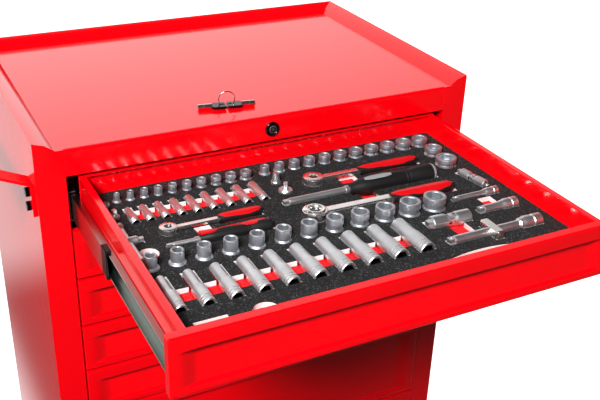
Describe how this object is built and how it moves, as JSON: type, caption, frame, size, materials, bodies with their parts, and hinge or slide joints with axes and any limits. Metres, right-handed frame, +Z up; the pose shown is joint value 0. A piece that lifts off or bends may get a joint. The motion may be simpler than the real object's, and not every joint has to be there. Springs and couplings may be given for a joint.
{
  "type": "rolling tool chest",
  "caption": "Rolling steel tool chest with drawers on ball-bearing slides, the top one open on a foam inlay of sockets and ratchets, push handle on one side, casters below.",
  "frame": {"origin": "centre of the cabinet's footprint, on the floor", "axes": "+X to the right seen from the front, +Y to the back, +Z up; the drawers open towards -Y"},
  "size_m": [0.7705, 0.839, 0.9608],
  "materials": {
    "red_paint": "glossy powder coat",
    "zinc_steel": "bright zinc plate",
    "chrome_steel": "satin chrome",
    "black_steel": "black oxide",
    "black_plastic": "satin",
    "grip_plastic": "satin black with red shells",
    "pedal_plastic": "satin",
    "wheel_rubber": "matt",
    "black_foam": "matt closed-cell foam",
    "red_foam": "matt closed-cell foam"
  },
  "bodies": {
    "cabinet": {"left_side_panel": "red_paint", "right_side_panel": "red_paint", "back_panel": "red_paint", "top_panel": "red_paint", "base_panel": "red_paint", "slide_uprights": "zinc_steel", "fixed_slide_rails": "zinc_steel", "push_handle": "red_paint", "handle_bolts": "black_steel", "lock_barrel": "black_plastic", "key_shanks": "chrome_steel", "key_heads": "black_plastic", "key_ring": "chrome_steel", "fixed_caster_forks": "zinc_steel", "swivel_caster_plates": "zinc_steel", "caster_fasteners": "zinc_steel"},
    "lock_plug": {"lock_plug": "chrome_steel"},
    "lock_bar": {"lock_bar": "zinc_steel"},
    "front_swivel": {"front_swivel_fork": "zinc_steel", "front_swivel_axle": "zinc_steel"},
    "front_swivel_wheel": {"front_swivel_wheel": "wheel_rubber"},
    "front_brake": {"front_brake_pedal": "pedal_plastic"},
    "front_fixed_wheel": {"front_fixed_wheel": "wheel_rubber"},
    "rear_swivel": {"rear_swivel_fork": "zinc_steel", "rear_swivel_axle": "zinc_steel"},
    "rear_swivel_wheel": {"rear_swivel_wheel": "wheel_rubber"},
    "rear_brake": {"rear_brake_pedal": "pedal_plastic"},
    "rear_fixed_wheel": {"rear_fixed_wheel": "wheel_rubber"},
    "drawer_1": {"drawer_1_tray": "red_paint", "drawer_1_front": "red_paint", "drawer_1_runners": "zinc_steel", "foam_inlay": "black_foam", "foam_base": "red_foam", "small_sockets": "chrome_steel", "small_deep_sockets": "chrome_steel", "large_sockets": "chrome_steel", "large_deep_sockets": "chrome_steel", "ratchets": "chrome_steel", "tool_grips": "grip_plastic", "extension_bars": "chrome_steel", "adapters": "chrome_steel"},
    "drawer_1_mid": {"drawer_1_mid_runners": "zinc_steel"},
    "drawer_2": {"drawer_2": "red_paint", "drawer_2_runners": "zinc_steel"},
    "drawer_2_mid": {"drawer_2_mid_runners": "zinc_steel"},
    "drawer_3": {"drawer_3": "red_paint", "drawer_3_runners": "zinc_steel"},
    "drawer_3_mid": {"drawer_3_mid_runners": "zinc_steel"},
    "drawer_4": {"drawer_4": "red_paint", "drawer_4_runners": "zinc_steel"},
    "drawer_4_mid": {"drawer_4_mid_runners": "zinc_steel"},
    "drawer_5": {"drawer_5": "red_paint", "drawer_5_runners": "zinc_steel"},
    "drawer_5_mid": {"drawer_5_mid_runners": "zinc_steel"},
    "drawer_6": {"drawer_6": "red_paint", "drawer_6_runners": "zinc_steel"},
    "drawer_6_mid": {"drawer_6_mid_runners": "zinc_steel"},
    "drawer_7": {"drawer_7": "red_paint", "drawer_7_runners": "zinc_steel"},
    "drawer_7_mid": {"drawer_7_mid_runners": "zinc_steel"}
  },
  "joints": [
    {"name": "drawer_1_slide", "type": "slide", "parent": "cabinet", "child": "drawer_1", "axis": [0, -1, 0], "range_m": [-0.385, 0]},
    {"name": "drawer_1_mid_slide", "type": "slide", "parent": "cabinet", "child": "drawer_1_mid", "axis": [0, -1, 0], "range_m": [-0.1925, 0]},
    {"name": "drawer_2_slide", "type": "slide", "parent": "cabinet", "child": "drawer_2", "axis": [0, -1, 0], "range_m": [0, 0.385]},
    {"name": "drawer_2_mid_slide", "type": "slide", "parent": "cabinet", "child": "drawer_2_mid", "axis": [0, -1, 0], "range_m": [0, 0.1925]},
    {"name": "drawer_3_slide", "type": "slide", "parent": "cabinet", "child": "drawer_3", "axis": [0, -1, 0], "range_m": [0, 0.385]},
    {"name": "drawer_3_mid_slide", "type": "slide", "parent": "cabinet", "child": "drawer_3_mid", "axis": [0, -1, 0], "range_m": [0, 0.1925]},
    {"name": "drawer_4_slide", "type": "slide", "parent": "cabinet", "child": "drawer_4", "axis": [0, -1, 0], "range_m": [0, 0.385]},
    {"name": "drawer_4_mid_slide", "type": "slide", "parent": "cabinet", "child": "drawer_4_mid", "axis": [0, -1, 0], "range_m": [0, 0.1925]},
    {"name": "drawer_5_slide", "type": "slide", "parent": "cabinet", "child": "drawer_5", "axis": [0, -1, 0], "range_m": [0, 0.385]},
    {"name": "drawer_5_mid_slide", "type": "slide", "parent": "cabinet", "child": "drawer_5_mid", "axis": [0, -1, 0], "range_m": [0, 0.1925]},
    {"name": "drawer_6_slide", "type": "slide", "parent": "cabinet", "child": "drawer_6", "axis": [0, -1, 0], "range_m": [0, 0.385]},
    {"name": "drawer_6_mid_slide", "type": "slide", "parent": "cabinet", "child": "drawer_6_mid", "axis": [0, -1, 0], "range_m": [0, 0.1925]},
    {"name": "drawer_7_slide", "type": "slide", "parent": "cabinet", "child": "drawer_7", "axis": [0, -1, 0], "range_m": [0, 0.385]},
    {"name": "drawer_7_mid_slide", "type": "slide", "parent": "cabinet", "child": "drawer_7_mid", "axis": [0, -1, 0], "range_m": [0, 0.1925]},
    {"name": "lock_turn", "type": "hinge", "parent": "cabinet", "child": "lock_plug", "pos_m": [0, -0.226, 0.915], "axis": [0, -1, 0], "range_deg": [0, 90]},
    {"name": "lock_bar_lift", "type": "slide", "parent": "cabinet", "child": "lock_bar", "axis": [0, 0, 1], "range_m": [0, 0.01555]},
    {"name": "front_swivel_turn", "type": "hinge", "parent": "cabinet", "child": "front_swivel", "pos_m": [-0.27, -0.165, 0.135], "axis": [0, 0, 1], "continuous": true},
    {"name": "front_swivel_wheel_roll", "type": "hinge", "parent": "front_swivel", "child": "front_swivel_wheel", "pos_m": [-0.232, -0.165, 0.0625], "axis": [0, 1, 0], "continuous": true},
    {"name": "front_brake_press", "type": "hinge", "parent": "front_swivel", "child": "front_brake", "pos_m": [-0.248, -0.165, 0.0945], "axis": [0, 1, 0], "range_deg": [0, 8]},
    {"name": "front_fixed_wheel_roll", "type": "hinge", "parent": "cabinet", "child": "front_fixed_wheel", "pos_m": [0.27, -0.165, 0.0625], "axis": [0, 1, 0], "continuous": true},
    {"name": "rear_swivel_turn", "type": "hinge", "parent": "cabinet", "child": "rear_swivel", "pos_m": [-0.27, 0.165, 0.135], "axis": [0, 0, 1], "continuous": true},
    {"name": "rear_swivel_wheel_roll", "type": "hinge", "parent": "rear_swivel", "child": "rear_swivel_wheel", "pos_m": [-0.232, 0.165, 0.0625], "axis": [0, 1, 0], "continuous": true},
    {"name": "rear_brake_press", "type": "hinge", "parent": "rear_swivel", "child": "rear_brake", "pos_m": [-0.248, 0.165, 0.0945], "axis": [0, 1, 0], "range_deg": [0, 8]},
    {"name": "rear_fixed_wheel_roll", "type": "hinge", "parent": "cabinet", "child": "rear_fixed_wheel", "pos_m": [0.27, 0.165, 0.0625], "axis": [0, 1, 0], "continuous": true}
  ],
  "couplings": [
    {"joint": "drawer_1_mid_slide", "follows": "drawer_1_slide", "ratio": 0.5},
    {"joint": "drawer_2_mid_slide", "follows": "drawer_2_slide", "ratio": 0.5},
    {"joint": "drawer_3_mid_slide", "follows": "drawer_3_slide", "ratio": 0.5},
    {"joint": "drawer_4_mid_slide", "follows": "drawer_4_slide", "ratio": 0.5},
    {"joint": "drawer_5_mid_slide", "follows": "drawer_5_slide", "ratio": 0.5},
    {"joint": "drawer_6_mid_slide", "follows": "drawer_6_slide", "ratio": 0.5},
    {"joint": "drawer_7_mid_slide", "follows": "drawer_7_slide", "ratio": 0.5},
    {"joint": "lock_turn", "follows": "lock_bar_lift", "rad_per_m": 100.97}
  ]
}
